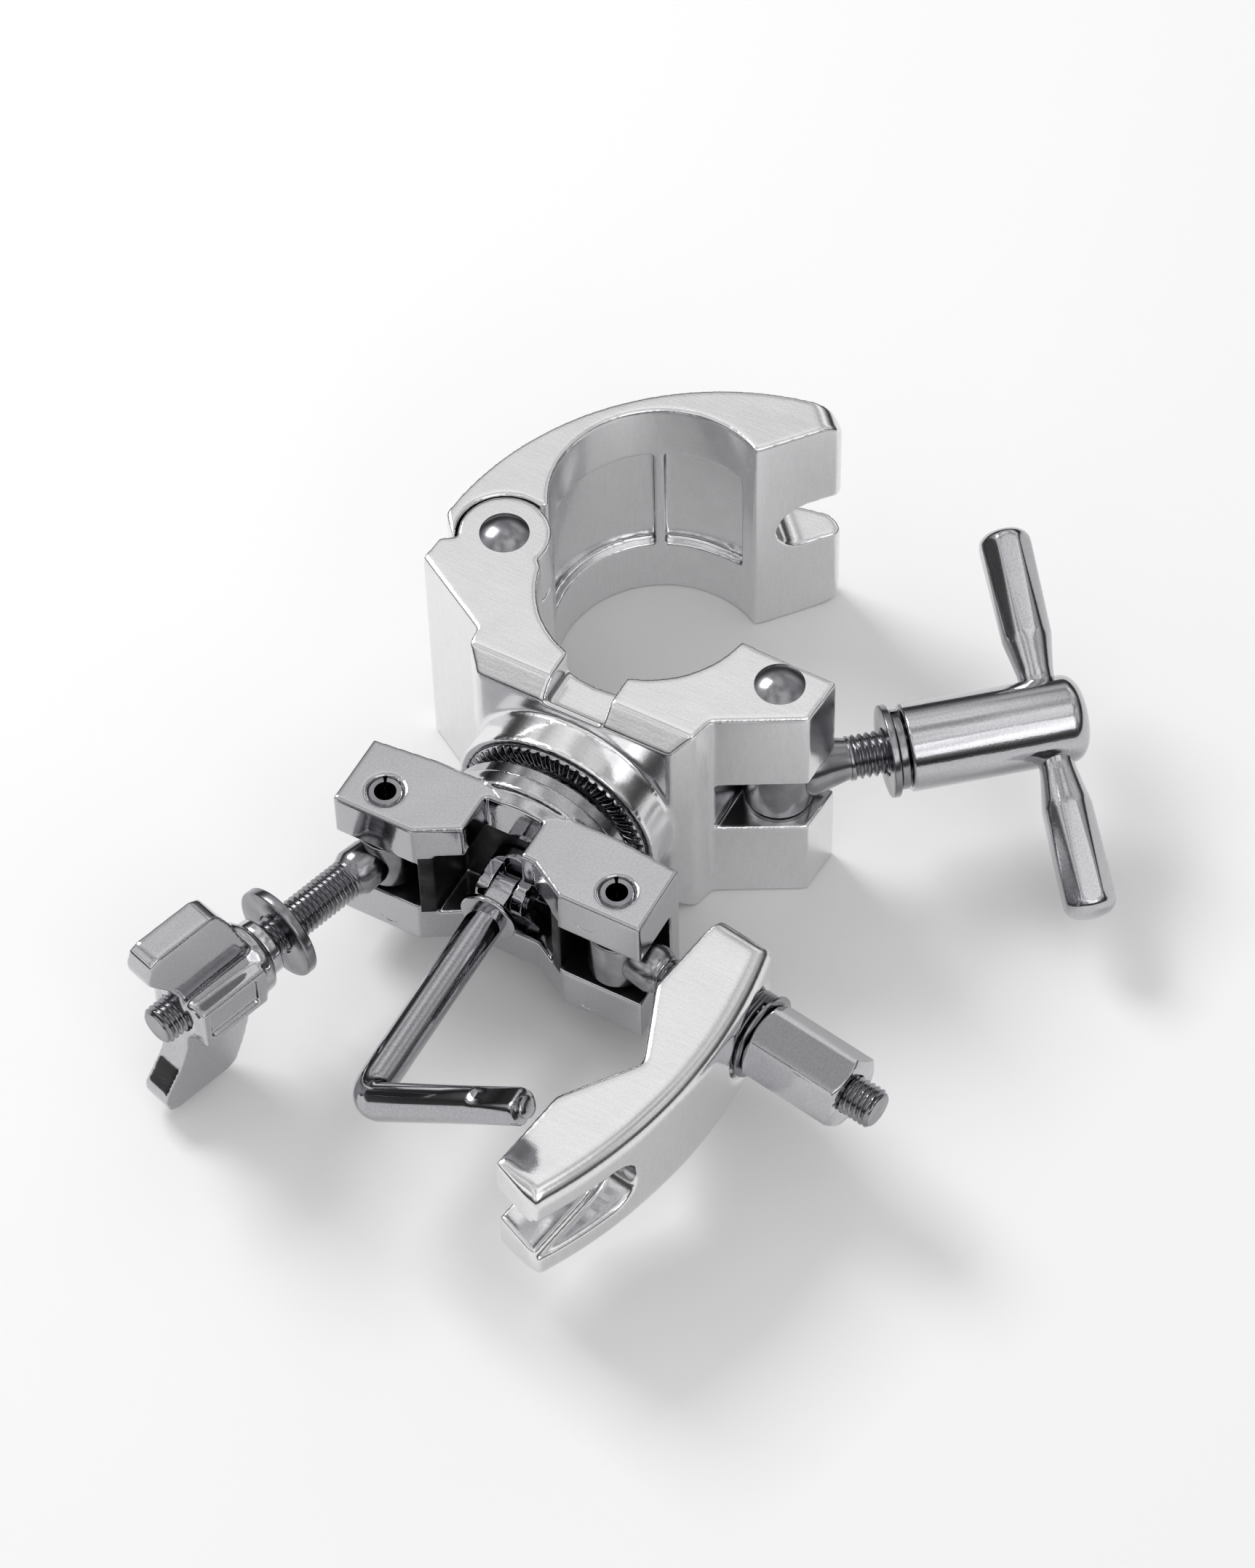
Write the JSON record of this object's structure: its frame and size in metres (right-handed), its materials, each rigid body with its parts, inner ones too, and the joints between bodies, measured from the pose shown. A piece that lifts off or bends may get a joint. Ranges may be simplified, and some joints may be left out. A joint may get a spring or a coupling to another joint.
{
  "type": "drum rack multi clamp",
  "caption": "Chrome stand clamp: hinged tube jaw with a T-handle swing bolt, toothed ratchet joint, and a rod clamp with a wing bolt, a curved jaw and a folding lever.",
  "frame": {"origin": "on the axis of the tube seat, at the clamp's bottom face, which it stands on", "axes": "+Z along the clamped tube, -Y from the tube seat towards the rod clamp, +X towards the T-bolt"},
  "size_m": [0.1304, 0.1584, 0.0502],
  "materials": {
    "satin_chrome": "satin bright plate over a die casting, slightly uneven",
    "bright_chrome": "bright plate",
    "dark_chrome": "bright plate, darker",
    "plated_steel": "zinc-plated steel with a turned grain",
    "spring_steel": "dark drawn wire"
  },
  "bodies": {
    "tube_clamp": {"tube_clamp_body": "satin_chrome", "jaw_hinge_rivet": "plated_steel", "tbolt_rivet": "plated_steel", "fixed_tooth_ring": "dark_chrome", "ratchet_nut": "plated_steel"},
    "tube_jaw": {"tube_clamp_jaw": "satin_chrome"},
    "tbolt": {"tbolt_eye_bolt": "plated_steel"},
    "t_nut_carrier": {"tbolt_flat_washer": "plated_steel", "tbolt_spring_washer": "plated_steel"},
    "t_handle": {"t_handle_barrel": "bright_chrome", "t_handle_grip_upper": "bright_chrome", "t_handle_grip_lower": "bright_chrome"},
    "ratchet_carrier": {"ratchet_thrust_washer": "plated_steel", "ratchet_spring": "spring_steel"},
    "rod_clamp": {"rod_clamp_body": "bright_chrome", "turning_tooth_ring": "dark_chrome", "wing_bolt_pin": "plated_steel", "jaw_bolt_pin": "plated_steel"},
    "ratchet_bolt": {"ratchet_bolt": "dark_chrome", "lever_pivot_pin": "plated_steel"},
    "lever": {"lever_rod": "dark_chrome"},
    "wing_bolt": {"wing_eye_bolt": "plated_steel"},
    "wing_washer": {"wing_flange_washer": "plated_steel"},
    "wing_nut_carrier": {"wing_nut_collar": "bright_chrome"},
    "wing_nut": {"wing_nut": "bright_chrome"},
    "jaw_bolt": {"jaw_eye_bolt": "plated_steel"},
    "rod_jaw": {"rod_clamp_jaw": "satin_chrome", "jaw_spring": "spring_steel"},
    "jaw_nut_carrier": {"jaw_spring_washer": "plated_steel"},
    "hex_nut": {"hex_sleeve_nut": "bright_chrome"}
  },
  "joints": [
    {"name": "tube_jaw_swing", "type": "hinge", "parent": "tube_clamp", "child": "tube_jaw", "pos_m": [-0.0275, -0.001, 0.0244], "axis": [0, 0, -1], "range_deg": [0, 42.5]},
    {"name": "tbolt_swing", "type": "hinge", "parent": "tube_clamp", "child": "tbolt", "pos_m": [0.02875, -0.00775, 0.0244], "axis": [0, 0, 1], "range_deg": [-20, 18]},
    {"name": "t_nut_travel", "type": "slide", "parent": "tbolt", "child": "t_nut_carrier", "axis": [0.7581, 0.6521, 0], "range_m": [-0.0007, 0.0051]},
    {"name": "t_handle_spin", "type": "hinge", "parent": "t_nut_carrier", "child": "t_handle", "pos_m": [0.02875, -0.00775, 0.0244], "axis": [0.7581, 0.6521, 0], "range_deg": [-180, 1440]},
    {"name": "ratchet_close", "type": "slide", "parent": "tube_clamp", "child": "ratchet_carrier", "axis": [0, 1, 0], "range_m": [0, 0.0025], "deforming": ["ratchet_spring"]},
    {"name": "ratchet_turn", "type": "hinge", "parent": "ratchet_carrier", "child": "rod_clamp", "pos_m": [0, -0.0376, 0.0244], "axis": [0, 1, 0], "continuous": true},
    {"name": "lever_turn", "type": "hinge", "parent": "rod_clamp", "child": "ratchet_bolt", "pos_m": [0, -0.0453, 0.0244], "axis": [0, 1, 0], "range_deg": [-60, 0]},
    {"name": "lever_fold", "type": "hinge", "parent": "ratchet_bolt", "child": "lever", "pos_m": [0, -0.051, 0.0244], "axis": [-1, 0, 0], "range_deg": [0, 90]},
    {"name": "rod_jaw_swing", "type": "hinge", "parent": "rod_clamp", "child": "jaw_bolt", "pos_m": [0.0219, -0.052, 0.0244], "axis": [0, 0, -1], "range_deg": [0, 60]},
    {"name": "jaw_slide", "type": "slide", "parent": "jaw_bolt", "child": "rod_jaw", "axis": [0.9863, -0.165, 0], "range_m": [-0.0025, 0]},
    {"name": "jaw_nut_travel", "type": "slide", "parent": "jaw_bolt", "child": "jaw_nut_carrier", "axis": [0.9863, -0.165, 0], "range_m": [0, 0.0041]},
    {"name": "jaw_nut_spin", "type": "hinge", "parent": "jaw_nut_carrier", "child": "hex_nut", "pos_m": [0.0219, -0.052, 0.0244], "axis": [0.9863, -0.165, 0], "range_deg": [0, 1440]},
    {"name": "wing_bolt_swing", "type": "hinge", "parent": "rod_clamp", "child": "wing_bolt", "pos_m": [-0.0219, -0.052, 0.0244], "axis": [0, 0, -1], "range_deg": [-17.2, 45]},
    {"name": "wing_washer_slide", "type": "slide", "parent": "wing_bolt", "child": "wing_washer", "axis": [-0.2957, -0.9553, 0], "range_m": [-0.006, 0.002]},
    {"name": "wing_nut_travel", "type": "slide", "parent": "wing_bolt", "child": "wing_nut_carrier", "axis": [-0.2957, -0.9553, 0], "range_m": [-0.0021, 0.0041]},
    {"name": "wing_nut_spin", "type": "hinge", "parent": "wing_nut_carrier", "child": "wing_nut", "pos_m": [-0.0219, -0.052, 0.0244], "axis": [-0.2957, -0.9553, 0], "range_deg": [-720, 1440]}
  ],
  "couplings": [
    {"joint": "t_nut_travel", "follows": "t_handle_spin", "m_per_rad": 0.00019894},
    {"joint": "jaw_nut_travel", "follows": "jaw_nut_spin", "m_per_rad": 0.00015915},
    {"joint": "wing_nut_travel", "follows": "wing_nut_spin", "m_per_rad": 0.00015915},
    {"joint": "lever_fold", "follows": "rod_jaw_swing", "ratio": 1.5}
  ]
}
